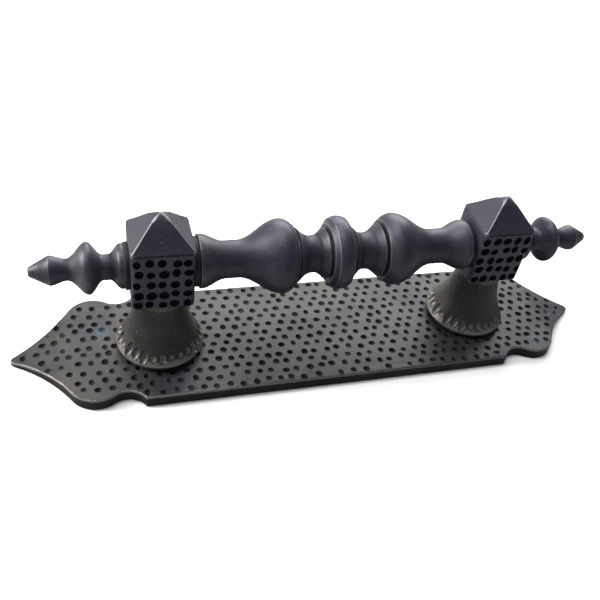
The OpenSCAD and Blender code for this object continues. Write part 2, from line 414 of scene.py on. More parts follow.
def turned(node, axis):
    """The turned mesh of one node of the model."""
    points, closed = turned_profile(node, axis)
    low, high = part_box(node)
    return turn(node + "_turned", soften(points, closed, ROUNDING), closed, axis, (low + high) / 2)


print("turning:", TURN_SEGMENTS, "segments, uneven by up to", UNEVEN / MM, "mm")

# %% [markdown]
# ## Black iron
#
# The finish is a thin black oxide with wax over a cast skin. It is darkest where it is thick, it turns to
# a soft graphite grey where hands rub and where a highlight is painted, and it shows fine brushing, specks,
# painted glints and a few cloudy patches that lean to olive or to blue. All of these are mixes of two
# colours by a mask, and a mask is a noise pressed through a ramp, so three small helpers come first.

# %% Name the colours and the mixing helpers
BLACK = (0.006, 0.006, 0.010, 1)
GRAPHITE = (0.030, 0.030, 0.043, 1)
OLIVE = (0.036, 0.034, 0.026, 1)
BARE_AND_GLINT = (0.30, 0.295, 0.28, 1)
SOOT_AND_SHADE = (0.0015, 0.0015, 0.0025, 1)
PATINA = (0.024, 0.045, 0.062, 1)
NEUTRAL = (1, 1, 1, 1)
BLUED = (0.82, 0.85, 1.0, 1)
SPECKLE = 0.8 * MM
GLINT = 0.9 * MM
STREAK = 3.2 * MM
STAIN = 7 * MM
CLOUD = 11 * MM
PATCH = 26 * MM
SKIN_BUMP = 0.16 * MM


def blend(graph, share, a, b):
    """A colour between two colours."""
    return graph.add("ShaderNodeMix", {"data_type": "RGBA"}, {0: share, 6: a, 7: b}, out=2)


def noise_at(graph, vector, size, detail=3.0, rough=0.55):
    """Noise from 0 to 1 whose lumps are about size metres across."""
    return graph.add("ShaderNodeTexNoise", {"noise_dimensions": "3D"},
                     {"Vector": vector, "Scale": 1 / size, "Detail": detail, "Roughness": rough})


def ramp(graph, value, *stops):
    """A grey ramp through (place, grey) stops, as a number."""
    return graph.add("ShaderNodeValToRGB", {"stops": stops}, {0: value})


print("noise sizes:", [round(size / MM, 1) for size in (SPECKLE, GLINT, STREAK, STAIN, CLOUD, PATCH)], "mm")

# %% [markdown]
# One function makes every iron material from the same parts: a speckle, clouds, brush streaks along a
# chosen direction, painted glints, and the two numbers that the meshes carry: wear with painted highlights,
# which lightens, and painted shade, which darkens. Object coordinates keep the pattern at its real size on
# every piece. Roughness follows the same masks, since rubbed metal is smoother.

# %% Mix the iron finishes
def iron(name, dark=BLACK, lit=GRAPHITE, streaks=(1, 9, 9), wear_and_highlight_amount=1.0, bumps=1.0, olive=0.5,
         gloss=0.4, dull=0.0, sheen=NEUTRAL, stains=()):
    """A black iron finish. streaks stretches the brushing: the axis with the smallest number is its way.
    gloss and sheen are the wax's shine and its colour, dull is added to the roughness, and stains are the
    middles of blue spots of patina."""
    material = bpy.data.materials.new(name)
    material.use_nodes = True
    material.node_tree.nodes.clear()
    graph = Graph(material.node_tree)
    place = graph.add("ShaderNodeTexCoord", out="Object")
    brushed = graph.add("ShaderNodeMapping", {}, {"Vector": place, "Scale": streaks})
    speckle = noise_at(graph, place, SPECKLE, 4.0, 0.7)
    clouds = noise_at(graph, place, CLOUD)
    streak = noise_at(graph, brushed, STREAK, 4.0, 0.6)
    rubbed = graph.add("ShaderNodeAttribute", {"attribute_name": "rubbed"}, out="Fac")
    grime = graph.add("ShaderNodeAttribute", {"attribute_name": "grime"}, out="Fac")

    light = ramp(graph, clouds * 0.3 + streak * 0.3 + speckle * 0.4, (0.38, 0.0), (0.64, 1.0))
    colour = blend(graph, light, dark, lit)
    leaning = ramp(graph, noise_at(graph, place, PATCH), (0.45, 0.0), (0.62, olive))
    colour = blend(graph, leaning, colour, OLIVE)
    # Wear and painted highlight: crests, edges, the heads' hips and apex, the plate's top edge and the dent
    # walls turn towards the bare colour.
    wear_and_highlight_mix = ramp(graph, rubbed * (0.35 + 0.9 * streak) * wear_and_highlight_amount, (0.3, 0.0), (0.95, 0.75))
    colour = blend(graph, wear_and_highlight_mix, colour, BARE_AND_GLINT)
    # Painted glints: tiny bright specks of the bare colour, standing in for highlights.
    glints = ramp(graph, noise_at(graph, place, GLINT, 2.0), (0.735, 0.0), (0.76, 0.6))
    colour = blend(graph, glints, colour, BARE_AND_GLINT)
    # Painted shade: grooves and pit floors are darkened towards black.
    colour = blend(graph, grime * 0.85, colour, SOOT_AND_SHADE)
    for middle in stains:
        away = graph.add("ShaderNodeVectorMath", {"operation": "DISTANCE"},
                         {0: place, 1: middle}, out="Value")
        ragged = away / STAIN + 0.9 * speckle
        colour = blend(graph, ramp(graph, ragged, (0.7, 0.7), (1.0, 0.0)), colour, PATINA)

    roughness = 0.5 + dull - 0.12 * light - 0.1 * wear_and_highlight_mix + 0.25 * grime
    height = streak * 0.35 + speckle * 0.4 + clouds * 0.6
    bump = graph.add("ShaderNodeBump", {}, {
        "Height": height, "Strength": 0.4 * bumps, "Distance": SKIN_BUMP})
    shader = graph.add("ShaderNodeBsdfPrincipled", {}, {
        "Base Color": colour, "Roughness": roughness, "Metallic": 0.0 + wear_and_highlight_mix, "Normal": bump,
        "Specular IOR Level": gloss, "Specular Tint": sheen})
    graph.add("ShaderNodeOutputMaterial", {}, {"Surface": shader})
    return material


STAINS = [Vector((-101, 9, 5.8)) * MM, Vector((108, -22, 5.8)) * MM]
PLATE_LIT = (0.022, 0.022, 0.026, 1)
FOOT_LIT = (0.036, 0.034, 0.028, 1)
WALL_SHADE_TONE = (0.012, 0.012, 0.015, 1)
WASHER_SHADE_TONE = (0.008, 0.008, 0.011, 1)
PIT_SHADE_TONE = (0.004, 0.004, 0.006, 1)

bar_iron = iron("rubbed_bar_iron", streaks=(7, 1, 1), wear_and_highlight_amount=0.7, olive=0.15, sheen=BLUED)
foot_iron = iron("brushed_foot_iron", dark=SOOT_AND_SHADE, lit=FOOT_LIT, streaks=(5, 5, 1), wear_and_highlight_amount=1.5, olive=0.7,
                 gloss=0.25)
# The upright walls' darker finish is painted shade.
wall_shade_iron = iron("wall_painted_shade_iron", dark=SOOT_AND_SHADE, lit=WALL_SHADE_TONE, streaks=(1, 1, 6), olive=0.3, gloss=0.15,
                 dull=0.1)
plate_iron = iron("hammered_skin_iron", lit=PLATE_LIT, streaks=(1, 5, 5), olive=0.7, gloss=0.3,
                  stains=STAINS)
struck_iron = iron("struck_skin_iron", lit=PLATE_LIT, streaks=(1, 5, 5), olive=0.7, gloss=0.2, dull=0.1,
                   stains=STAINS)
head_iron = iron("smooth_head_iron", streaks=(4, 4, 1), olive=0.1, sheen=BLUED)
# The head pits' near-black finish is partly their dark patina and partly painted shade.
pit_shade_iron = iron("pit_painted_shade_iron", dark=SOOT_AND_SHADE, lit=PIT_SHADE_TONE, wear_and_highlight_amount=0.0, bumps=0.6, olive=0.0, gloss=0.22,
                dull=0.35)
washer_shade_iron = iron("washer_painted_shade_iron", dark=SOOT_AND_SHADE, lit=WASHER_SHADE_TONE, wear_and_highlight_amount=0.4, olive=0.0, gloss=0.25,
                   dull=0.15)
print("iron finishes:", [m.name for m in bpy.data.materials if m.name.endswith("iron")])

# %% [markdown]
# ## Plain steel
#
# The pillars, the tie rod and the nuts behind the plate are turned from bright steel bar and never
# painted. They show fine rings from the lathe and a thin oily haze, so their finish is a metal whose
# roughness is broken by narrow streaks. These pieces keep their own meshes from the model, because their
# shape is right.

# %% Mix the steel
STEEL_SHADE = (0.38, 0.38, 0.37, 1)
STEEL_LIGHT = (0.52, 0.52, 0.53, 1)
LATHE_RING = 2 * MM
LATHE_BUMP = 0.05 * MM
HAZE = 7 * MM


def steel(name):
    """A bright turned finish: narrow rings, stacked up the Z axis, and a faint haze."""
    material = bpy.data.materials.new(name)
    material.use_nodes = True
    material.node_tree.nodes.clear()
    graph = Graph(material.node_tree)
    place = graph.add("ShaderNodeTexCoord", out="Object")
    squeezed = graph.add("ShaderNodeMapping", {}, {"Vector": place, "Scale": (1, 1, 14)})
    rings = noise_at(graph, squeezed, LATHE_RING)
    haze = noise_at(graph, place, HAZE)
    colour = blend(graph, haze, STEEL_SHADE, STEEL_LIGHT)
    bump = graph.add("ShaderNodeBump", {}, {"Height": rings, "Strength": 0.25, "Distance": LATHE_BUMP})
    shader = graph.add("ShaderNodeBsdfPrincipled", {}, {
        "Base Color": colour, "Roughness": 0.28 + 0.2 * rings, "Metallic": 1.0, "Normal": bump})
    graph.add("ShaderNodeOutputMaterial", {}, {"Surface": shader})
    return material


bright_steel = steel("bright_turned_steel")
STEEL_PIECES = [name for name in nodes if name.startswith(("pillar", "tie_rod", "rear_nut"))]
for name in STEEL_PIECES:
    nodes[name].material_slots[0].material = bright_steel
print("steel pieces:", len(STEEL_PIECES))

# %% [markdown]
# ## The bar
#
# On the tie rod sit two vase-shaped sleeves, two coved spools and a centre bead, with thin washers against
# the heads and a turned finial screwed on each end. Each is a separate turned piece. The dark lines between
# them are real steps in their profiles, and the washers' near-black finish paints shade into them, as it
# does on the two rings that lift the feet off the plate. These rings are turned in the same way, about an
# upright axis.

# %% Turn the bar's pieces
DARK_RINGS = ("head_washer", "finial_washer", "seat_ring")
BAR_PIECES = ("grip_sleeve", "grip_spool", "centre_bead", "finial")


def stand_in_for(made, node):
    """Puts a finished piece in place of a node of the model."""
    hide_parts(node)
    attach(made, "root")


for node in sorted(nodes):
    axis = UPWARDS if node.startswith("seat_ring") else ALONG
    # The washers and seat rings take a near-black finish that paints the shade between the pieces.
    if node.startswith(DARK_RINGS):
        stand_in_for(piece(node + "_turned", turned(node, axis), washer_shade_iron), node)
    elif node.startswith(BAR_PIECES):
        stand_in_for(piece(node + "_turned", turned(node, axis), bar_iron), node)

# %% [markdown]
# ## Hammered pits
#
# The plate and the long faces of the heads are covered with small round pits, each struck or cast into the
# skin. Painted pits would look flat from low angles, so these are cut by a Geometry Nodes tree. A few
# helpers come first: they open a tree, read its inputs, and add the nodes that every tree here needs.

# %% Write helpers for trees
def open_tree(name, sockets):
    """A Geometry Nodes tree with a geometry input and output and named, typed inputs between."""
    tree = bpy.data.node_groups.new(name, "GeometryNodeTree")
    tree.interface.new_socket("Geometry", in_out="INPUT", socket_type="NodeSocketGeometry")
    for socket, kind in sockets.items():
        tree.interface.new_socket(socket, in_out="INPUT", socket_type="NodeSocket" + kind)
    tree.interface.new_socket("Geometry", in_out="OUTPUT", socket_type="NodeSocketGeometry")
    return tree, Graph(tree)


def inputs_of(graph):
    """The tree's inputs as wires, by name."""
    node = graph.tree.nodes.new("NodeGroupInput")
    return {socket.name: Wire(graph, socket) for socket in node.outputs if socket.name}


def vector(graph, x, y, z):
    """Three numbers or wires as one vector."""
    return graph.add("ShaderNodeCombineXYZ", {}, {0: x, 1: y, 2: z})


def scatter_value(graph, low, high, seed):
    """A random number for each point."""
    return graph.add("FunctionNodeRandomValue", {"data_type": "FLOAT"}, {2: low, 3: high, 8: seed}, out=1)


def keep(graph, geometry, name, value):
    """Stores a number at every point under a name."""
    return graph.add("GeometryNodeStoreNamedAttribute", {"data_type": "FLOAT", "domain": "POINT"},
                     {"Geometry": geometry, "Name": name, "Value": value})


print("tree helpers: open_tree, inputs_of, vector, scatter_value and keep")

# %% [markdown]
# A pit is what a small ball leaves when it is taken off the blank. The ball carries a number, its painted
# shade, which the Boolean hands on to the walls and floor of the pit, so the pit is painted darker towards
# its floor. Balls too near an upright wall would break the plate's edge, so their points are dropped. All
# the balls are taken off in one Boolean, which the Manifold solver does in well under a second.

# %% Shape the cutters
SHADE_FROM = 0.22
SHADE_GROWTH = 1.6
BALL_SEGMENTS = 14
BALL_RINGS = 11
UPRIGHT = 0.3


def ball(graph, radius, depth):
    """A small ball, squashed to radius and depth, whose painted shade grows towards its bottom."""
    made = graph.add("GeometryNodeMeshUVSphere", {}, {
        "Segments": BALL_SEGMENTS, "Rings": BALL_RINGS, "Radius": 1.0})
    height = graph.add("ShaderNodeSeparateXYZ", {}, {0: graph.add("GeometryNodeInputPosition")}, out=2)
    grime = ((-SHADE_FROM - height) / (1 - SHADE_FROM)).math("MAXIMUM", 0.0)
    made = keep(graph, made, "grime", (grime * SHADE_GROWTH).math("MINIMUM", 1.0))
    return graph.add("GeometryNodeTransform", {},
                     {"Geometry": made, "Scale": vector(graph, radius, radius, depth)})


def clear_of_walls(graph, given, points):
    """Drops the points that stand nearer than the margin to the blank's upright walls."""
    upright = graph.add("ShaderNodeSeparateXYZ", {}, {0: graph.add("GeometryNodeInputNormal")}, out=2)
    upright = upright.math("ABSOLUTE").math("LESS_THAN", UPRIGHT)
    walls = graph.add("GeometryNodeSeparateGeometry", {"domain": "FACE"},
                      {"Geometry": given["Geometry"], "Selection": upright})
    away = graph.add("GeometryNodeProximity", {"target_element": "FACES"}, {0: walls}, out=1)
    close = away.math("LESS_THAN", given["Margin"])
    return graph.add("GeometryNodeDeleteGeometry", {"domain": "POINT"},
                     {"Geometry": points, "Selection": close})


def carve(graph, given, cutters):
    """Takes the cutters off the blank, and ends the tree."""
    cutters = graph.add("GeometryNodeRealizeInstances", {}, {"Geometry": cutters})
    cutters = graph.add("GeometryNodeSetMaterial", {},
                        {"Geometry": cutters, "Material": given["Pit finish"]})
    cut = graph.add("GeometryNodeMeshBoolean", {"operation": "DIFFERENCE", "solver": "MANIFOLD"},
                    {"Mesh 1": given["Geometry"], "Mesh 2": cutters})
    cut = graph.add("GeometryNodeRealizeInstances", {}, {"Geometry": cut})
    pitted = graph.add("GeometryNodeMaterialSelection", {}, {"Material": given["Pit finish"]})
    cut = graph.add("GeometryNodeSetMaterial", {},
                    {"Geometry": cut, "Selection": pitted, "Material": given["Pit finish"]})
    graph.add("NodeGroupOutput", {}, {"Geometry": cut})


print("ball:", BALL_SEGMENTS, "segments and", BALL_RINGS, "rings")

# %% [markdown]
# The pits stand in rows, but never quite. So the tree shifts a grid of points by half a step in every
# second row, jitters it with a fixed seed, and puts a ball on each point, stretched at random.

# %% Grow the pit tree
def pit_tree():
    """The tree that strikes rows of pits into a blank. Past Flat half, the rows sink with the face."""
    tree, graph = open_tree("struck_pits", {
        "Across": "Float", "Along": "Float", "Columns": "Int", "Rows": "Int", "Stagger": "Float",
        "Jitter": "Float", "Flat half": "Float", "Fall": "Float", "Margin": "Float",
        "Pit radius": "Float", "Pit depth": "Float", "Spread": "Float", "Depth spread": "Float",
        "Place": "Vector", "Turn": "Rotation", "Seed": "Int", "Pit finish": "Material"})
    given = inputs_of(graph)
    grid = graph.add("GeometryNodeMeshGrid", {}, {
        "Size X": given["Across"], "Size Y": given["Along"],
        "Vertices X": given["Columns"], "Vertices Y": given["Rows"]})
    index = graph.add("GeometryNodeInputIndex")
    row = index % given["Rows"]
    step = given["Across"] / (given["Columns"] - 1)
    shift = (row % 2 - 0.5) * 0.5 * step * given["Stagger"]
    jitter = given["Jitter"]
    out = graph.add("ShaderNodeSeparateXYZ", {}, {0: graph.add("GeometryNodeInputPosition")})
    sunk = (out.math("ABSOLUTE") - given["Flat half"]).math("MAXIMUM", 0.0) * given["Fall"]
    moved = graph.add("GeometryNodeSetPosition", {}, {"Geometry": grid, "Offset": vector(
        graph,
        shift + scatter_value(graph, -1.0, 1.0, given["Seed"]) * jitter,
        scatter_value(graph, -1.0, 1.0, given["Seed"] + 1) * jitter,
        0 - sunk)})
    spread = given["Spread"]
    wide = 1 + scatter_value(graph, -1.0, 1.0, given["Seed"] + 2) * spread
    tall = 1 + scatter_value(graph, -1.0, 1.0, given["Seed"] + 3) * spread
    deep = 1 + scatter_value(graph, -1.0, 1.0, given["Seed"] + 4) * given["Depth spread"]
    placed = graph.add("GeometryNodeTransform", {}, {
        "Geometry": moved, "Translation": given["Place"], "Rotation": given["Turn"]})
    pits = graph.add("GeometryNodeInstanceOnPoints", {}, {
        "Points": clear_of_walls(graph, given, placed),
        "Instance": ball(graph, given["Pit radius"], given["Pit depth"]),
        "Rotation": given["Turn"], "Scale": vector(graph, wide, tall, deep)})
    carve(graph, given, pits)
    return tree


PITS = pit_tree()
print("pit tree:", len(PITS.nodes), "nodes")

# %% [markdown]
# ## Running a tree
#
# A tree runs as a modifier. Its inputs are set by the sockets' identifiers before the object is first
# evaluated. The result is then taken as a plain mesh and the modifier goes, so the finished piece is only
# vertices and faces. Edges that turn sharply, such as the rim of a pit, are marked so that they look
# crisp. Bores are drilled in the same spirit: a turned cutter, a Boolean modifier, and a plain mesh at the
# end.

# %% Apply a tree
CRISP = math.radians(38)


def apply_tree(made, tree, values):
    """Runs a tree on an object and keeps the result as its mesh."""
    modifier = made.modifiers.new(tree.name, "NODES")
    modifier.node_group = tree
    for item in tree.interface.items_tree:
        if item.item_type == "SOCKET" and item.in_out == "INPUT" and item.name in values:
            modifier[item.identifier] = values[item.name]
    ready = made.evaluated_get(bpy.context.evaluated_depsgraph_get())
    mesh = bpy.data.meshes.new_from_object(ready)
    made.modifiers.clear()
    made.data = mesh
    mesh.shade_smooth()
    mesh.set_sharp_from_angle(angle=CRISP)
    return mesh


def bore(made, cutters):
    """Drills turned cutters out of a blank with a Boolean, and keeps the result as its mesh."""
    for cutter in cutters:
        drill = bpy.data.objects.new("drill", cutter)
        scene.collection.objects.link(drill)
        modifier = made.modifiers.new("bore", "BOOLEAN")
        modifier.operation = "DIFFERENCE"
        modifier.solver = "MANIFOLD"
        modifier.object = drill
        ready = made.evaluated_get(bpy.context.evaluated_depsgraph_get())
        made.data = bpy.data.meshes.new_from_object(ready)
        made.modifiers.clear()
        bpy.data.objects.remove(drill)


print("crisp above", round(math.degrees(CRISP)), "degrees")

# %% [markdown]
# ## The plate
#
# The plate is a forged slab: straight sides, a cove and two lobes at each end, and tips that are drawn out
# thinner. Its blank is built from the model's outline, which also says where the taper starts. Three
# helpers for flat loops come first: one moves a loop inwards, one tells if a point is inside, and one
# fills a loop with triangles.

# %% Measure the taper and write the loop helpers
LEAST_TURN = 0.5
SAME_POINT = 1e-4

plate_low, plate_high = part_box("backplate")
taper_from = max(abs(p.x) for p in outline if p.z > plate_high.z - NEAR)
tip_height = min(p.z for p in outline)
taper = (plate_high.z - tip_height) / (plate_high.x - taper_from)


def top_at(x):
    """Height of the plate's top face."""
    return plate_high.z - max(0.0, abs(x) - taper_from) * taper


def inset(loop, by):
    """A flat loop moved inwards."""
    moved = []
    for i, p in enumerate(loop):
        a, b = (p - loop[i - 1]).normalized(), (loop[(i + 1) % len(loop)] - p).normalized()
        inward = Vector((-a.y - b.y, a.x + b.x)).normalized()
        moved.append(p + inward * by / max(LEAST_TURN, inward.dot(Vector((-a.y, a.x)))))
    return moved


def within(point, loop):
    """True if a flat point lies inside a loop."""
    found = False
    for a, b in zip(loop, loop[1:] + loop[:1]):
        if (a.y > point.y) != (b.y > point.y):
            if point.x < a.x + (point.y - a.y) / (b.y - a.y) * (b.x - a.x):
                found = not found
    return found


def cap(loop, inside):
    """Triangles over a flat loop and the points inside it."""
    flat = [p / MM for p in loop + inside]
    edge = [(i, (i + 1) % len(loop)) for i in range(len(loop))]
    spots, _, faces, *_ = geometry.delaunay_2d_cdt(flat, edge, [], 1, SAME_POINT)
    return [p * MM for p in spots], faces


print("plate:", round(plate_high.z / MM, 1), "mm thick,", round(tip_height / MM, 1), "mm at the tips")

# %% [markdown]
# The edge is a small quarter round, made by stacking copies of the outline that step inwards. The top is
# triangulated over a loose grid of points that sink by up to an eighth of a millimetre, because a hammered
# face is never quite flat. The upright walls take a darker finish, which is painted shade.

# %% Build the blank
EDGE = 0.55 * MM
EDGE_STEPS = 3
LOWER_WEAR = 0.6
UPPER_WEAR_AND_HIGHLIGHT = 0.8
PIT_DEPTH = 1.3 * MM
TOP_GRID = 3.2 * MM
TOP_BORDER = 2 * MM
TOP_LUMP = 8 * MM
SINK = 0.13 * MM
LOW_SUPPORT = 1.5 * EDGE
HIGH_SUPPORT = 1.3 * PIT_DEPTH
TOP_SUPPORT = 1.8


def slab():
    """The plate's blank, with rounded edges and an uneven top."""
    flat = [Vector((p.x, p.y)) for p in outline]
    verts, faces, rubbed = [], [], []
    angles = [math.pi / 2 * k / EDGE_STEPS for k in range(EDGE_STEPS + 1)]
    # Each level is its inset, whether it is measured from the top, its rise from there and its wear and
    # highlight.
    levels = [(EDGE * (1 - math.sin(a)), 0, EDGE * (1 - math.cos(a)), LOWER_WEAR) for a in angles]
    levels += [(0.0, 0, LOW_SUPPORT, 0.0), (0.0, 1, -HIGH_SUPPORT, 0.0)]
    # The upper rounding's number also paints a thin highlight line along the top edge.
    levels += [(EDGE * (1 - math.cos(a)), 1, -EDGE * (1 - math.sin(a)), UPPER_WEAR_AND_HIGHLIGHT) for a in angles]
    loops = []
    for by, from_top, rise, worn in levels:
        loop = inset(flat, by)
        loops.append(range(len(verts), len(verts) + len(loop)))
        verts += [Vector((p.x, p.y, from_top * top_at(p.x) + rise)) for p in loop]
        rubbed += [worn] * len(loop)
    for a, b in zip(loops, loops[1:]):
        for k in range(len(a)):
            n = (k + 1) % len(a)
            faces.append((a[k], a[n], b[n], b[k]))
    rim = inset(flat, EDGE)
    well_in = inset(flat, TOP_BORDER)
    inside = []
    for i in range(int((plate_high.x - plate_low.x) / TOP_GRID)):
        for j in range(int((plate_high.y - plate_low.y) / TOP_GRID)):
            spot = Vector((plate_low.x + i * TOP_GRID, plate_low.y + (j + 0.5 * (i % 2)) * TOP_GRID))
            if within(spot, well_in):
                inside.append(spot)
    support = inset(flat, EDGE * TOP_SUPPORT)
    for loop, points, from_top in ((rim, inside + support, 1), (rim, [], 0)):
        spots, triangles = cap(loop, points)
        start = len(verts)
        for p in spots:
            dip = SINK * (0.5 + 0.5 * noise.noise(Vector((p.x, p.y, 0)) / TOP_LUMP))
            dip *= from_top * within(p, well_in)
            verts.append(Vector((p.x, p.y, from_top * top_at(p.x) - dip)))
            rubbed.append(0.0)
        faces += [[start + k for k in face] for face in triangles]
    numbers = {"rubbed": rubbed, "grime": [0.0] * len(verts)}
    return finished_mesh("backplate_forged", verts, faces, numbers)


blank = slab()
# Upright faces take the second finish, whose darkness is painted shade.
for face in blank.polygons:
    face.material_index = int(abs(face.normal.z) < UPRIGHT)
print("plate blank:", len(blank.vertices), "vertices, taper from", round(taper_from / MM, 1), "mm")

# %% [markdown]
# The pillars pass through two holes, and behind the plate their nuts sit in round counterbores. The cutter
# for each is one turned, stepped plug, whose sizes are those of the spigot and the nut with a clearance.

# %% Drill and pit the plate
CLEARANCE = 0.2 * MM
SPIGOT = 6.5 * MM
PIT_RADIUS = 1.7 * MM
PIT_LIFT = 0.45 * MM
PIT_STEP = 5.7 * MM
ROW_STEP = 4.9 * MM
THROUGH = 1.0 * MM
PLUG_SEGMENTS = 64


def plug(node):
    """The stepped cutter of one post."""
    low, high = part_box(node)
    middle = (low + high) / 2
    wide = (high.x - low.x) / 2 + CLEARANCE
    narrow = SPIGOT + CLEARANCE
    past = plate_high.z + THROUGH
    steps = [(-THROUGH, 0), (-THROUGH, wide), (high.z, wide), (high.z, narrow), (past, narrow), (past, 0)]
    points = [(z, r, 0.0) for z, r in steps]
    return turn("plug", points, False, UPWARDS, middle, PLUG_SEGMENTS, 0.0)


plate = piece("backplate_forged", blank, plate_iron, wall_shade_iron)
bore(plate, [plug("rear_nut_left"), plug("rear_nut_right")])
columns = round((plate_high.x - plate_low.x) / PIT_STEP)
rows = round((plate_high.y - plate_low.y) / ROW_STEP)
apply_tree(plate, PITS, {
    "Across": columns * PIT_STEP, "Along": (rows - 1) * ROW_STEP, "Columns": columns + 1, "Rows": rows,
    "Stagger": 1.0, "Jitter": 0.8 * MM, "Flat half": taper_from, "Fall": taper, "Margin": 1.9 * MM,
    "Pit radius": PIT_RADIUS, "Pit depth": PIT_DEPTH, "Spread": 0.14, "Depth spread": 0.3,
    "Place": Vector((0, 0, plate_high.z + PIT_LIFT)), "Seed": 11, "Pit finish": struck_iron})
stand_in_for(plate, "backplate")
print("plate:", columns * rows, "places for pits,", len(plate.data.polygons), "faces")

# %% [markdown]
# ## The feet
#
# Each foot is a trumpet: a narrow neck under the head, a long flare and a thin rim. Round the rim the
# smith struck a ring of long dents, which catch the light like a frill. The foot is turned from the
# model's profile, and the dents are cut by long balls that stand in a circle and lean along the flare. The
# balls carry a painted highlight into the dents, which makes their walls lighter.

# %% Grow the dent tree and turn the feet
DENT_SEGMENTS = 12
DENT_RINGS = 9
DENT_INSET = 0.9 * MM
DENT_HEIGHT = 4.6 * MM


def dent_tree():
    """The tree that strikes a ring of long dents into a foot."""
    tree, graph = open_tree("rim_dents", {
        "Count": "Int", "Ring": "Float", "Pit radius": "Float", "Length": "Float", "Lean": "Float",
        "Jitter": "Float", "Painted highlight": "Float", "Place": "Vector", "Seed": "Int", "Pit finish": "Material"})
    given = inputs_of(graph)
    circle = graph.add("GeometryNodeMeshCircle", {}, {"Vertices": given["Count"], "Radius": given["Ring"]})
    index = graph.add("GeometryNodeInputIndex")
    round_by = index / given["Count"] * (2 * math.pi)
    nudge = scatter_value(graph, -1.0, 1.0, given["Seed"]) * given["Jitter"]
    ball_shape = graph.add("GeometryNodeMeshUVSphere", {}, {
        "Segments": DENT_SEGMENTS, "Rings": DENT_RINGS, "Radius": 1.0})
    # The dent walls take a painted highlight through the wear and highlight number.
    long_ball = graph.add("GeometryNodeTransform", {}, {
        "Geometry": keep(graph, ball_shape, "rubbed", given["Painted highlight"]),
        "Scale": vector(graph, given["Length"], given["Pit radius"], given["Pit radius"])})
    lean = graph.add("FunctionNodeEulerToRotation", {}, {0: vector(graph, 0.0, given["Lean"], 0.0)})
    leaning = graph.add("GeometryNodeTransform", {}, {"Geometry": long_ball, "Rotation": lean})
    size = 1 + scatter_value(graph, -1.0, 1.0, given["Seed"] + 1) * 0.4
    facing = graph.add("FunctionNodeEulerToRotation", {}, {0: vector(graph, 0.0, 0.0, round_by + nudge)})
    dents = graph.add("GeometryNodeInstanceOnPoints", {}, {
        "Points": circle, "Instance": leaning, "Rotation": facing,
        "Scale": vector(graph, size, 1.0, size)})
    placed = graph.add("GeometryNodeTransform", {}, {
        "Geometry": graph.add("GeometryNodeRealizeInstances", {}, {"Geometry": dents}),
        "Translation": given["Place"]})
    carve(graph, given, placed)
    return tree


DENTS = dent_tree()
dent_iron = iron("struck_rim_iron", lit=OLIVE, streaks=(2, 2, 2), olive=0.9)
for node in ("foot_left", "foot_right"):
    low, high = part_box(node)
    foot = piece(node + "_trumpet", turned(node, UPWARDS), foot_iron, dent_iron)
    rim = (high.x - low.x) / 2
    apply_tree(foot, DENTS, {
        "Count": 27, "Ring": rim - DENT_INSET, "Pit radius": 1.9 * MM, "Length": 3.0 * MM,
        "Lean": math.radians(46), "Jitter": 0.07, "Painted highlight": 0.7,
        "Place": Vector(((low.x + high.x) / 2, 0, low.z + DENT_HEIGHT)), "Seed": 5,
        "Pit finish": dent_iron})
    stand_in_for(foot, node)
    print(node, "faces:", len(foot.data.polygons))

# %% [markdown]
# ## The heads
#
# A head is a block with a blunt four-sided point. It was ground smooth on top, its hips and upright
# corners are lighter, partly from wear and partly as a painted highlight, its apex carries a painted glint,
# a fine line runs round it under the point, and its two long faces are pitted like the plate. It can be
# lofted from rounded rectangles, so the first step is a function for one of them.
# It always gives the same number of points, which lets two neighbours join point to point.

# %% Round a rectangle
CORNER_STEPS = 6
CORNER_SHARE = 0.45
CORNER_SUPPORT = 0.8 * MM
FLAT_WEAR = 0.15


def rounded_rectangle(half_x, half_y, radius):
    """Points round a rectangle with (x, y, rubbed) each, a support beside every rounding."""
    points = []
    radius = min(radius, CORNER_SHARE * half_x, CORNER_SHARE * half_y)
    beside = min(radius, CORNER_SUPPORT)
    wear = [0.5 + 0.5 * math.sin(math.pi * k / CORNER_STEPS) for k in range(CORNER_STEPS + 1)]
    for turn_by, sx, sy in ((0, 1, 1), (90, -1, 1), (180, -1, -1), (270, 1, -1)):
        centre = Vector((sx * (half_x - radius), sy * (half_y - radius)))
        arc = []
        for k in range(CORNER_STEPS + 1):
            angle = math.radians(turn_by + 90 * k / CORNER_STEPS)
            arc.append(centre + radius * Vector((math.cos(angle), math.sin(angle))))
        along = Vector((math.cos(math.radians(turn_by + 90)), math.sin(math.radians(turn_by + 90))))
        first = arc[0] - along * beside
        last = arc[-1] + Vector((-along.y, along.x)) * beside
        rubs = [FLAT_WEAR, *wear, FLAT_WEAR]
        # Points round a rectangle with (x, y, wear and highlight) each, a support beside every rounding.
        points += [(p.x, p.y, rub) for p, rub in zip([first, *arc, last], rubs)]
    return points


print("rounded rectangle:", len(rounded_rectangle(MM, MM, MM)), "points")

# %% [markdown]
# The blank stacks these rectangles from the foot to the apex, with small corners on the hips and larger ones
# on the upright edges. Two of them step inwards just under the point, which makes the fine line.

# %% Loft the head's blank
CORNER = 2.0 * MM
HIP = 0.4 * MM
LINE_HEIGHT = 0.7 * MM
LINE_DEPTH = 0.4 * MM
BLUNT = 0.33
POINT_SHARES = (0.006, 0.025, 0.055, 0.1, 0.3, 0.55, 0.78, 0.85, 0.9, 0.94, 0.97, 0.99)
HIP_FROM = 0.055
TIP_FROM = 0.78
TIP_CORNER = 8 * MM
TIP_WORN = 0.06 * MM


def point_share(up):
    """How wide the head's point is at a share of its height: straight low down, and blunt at the tip."""
    return (1 - up) ** (1 - BLUNT * up)


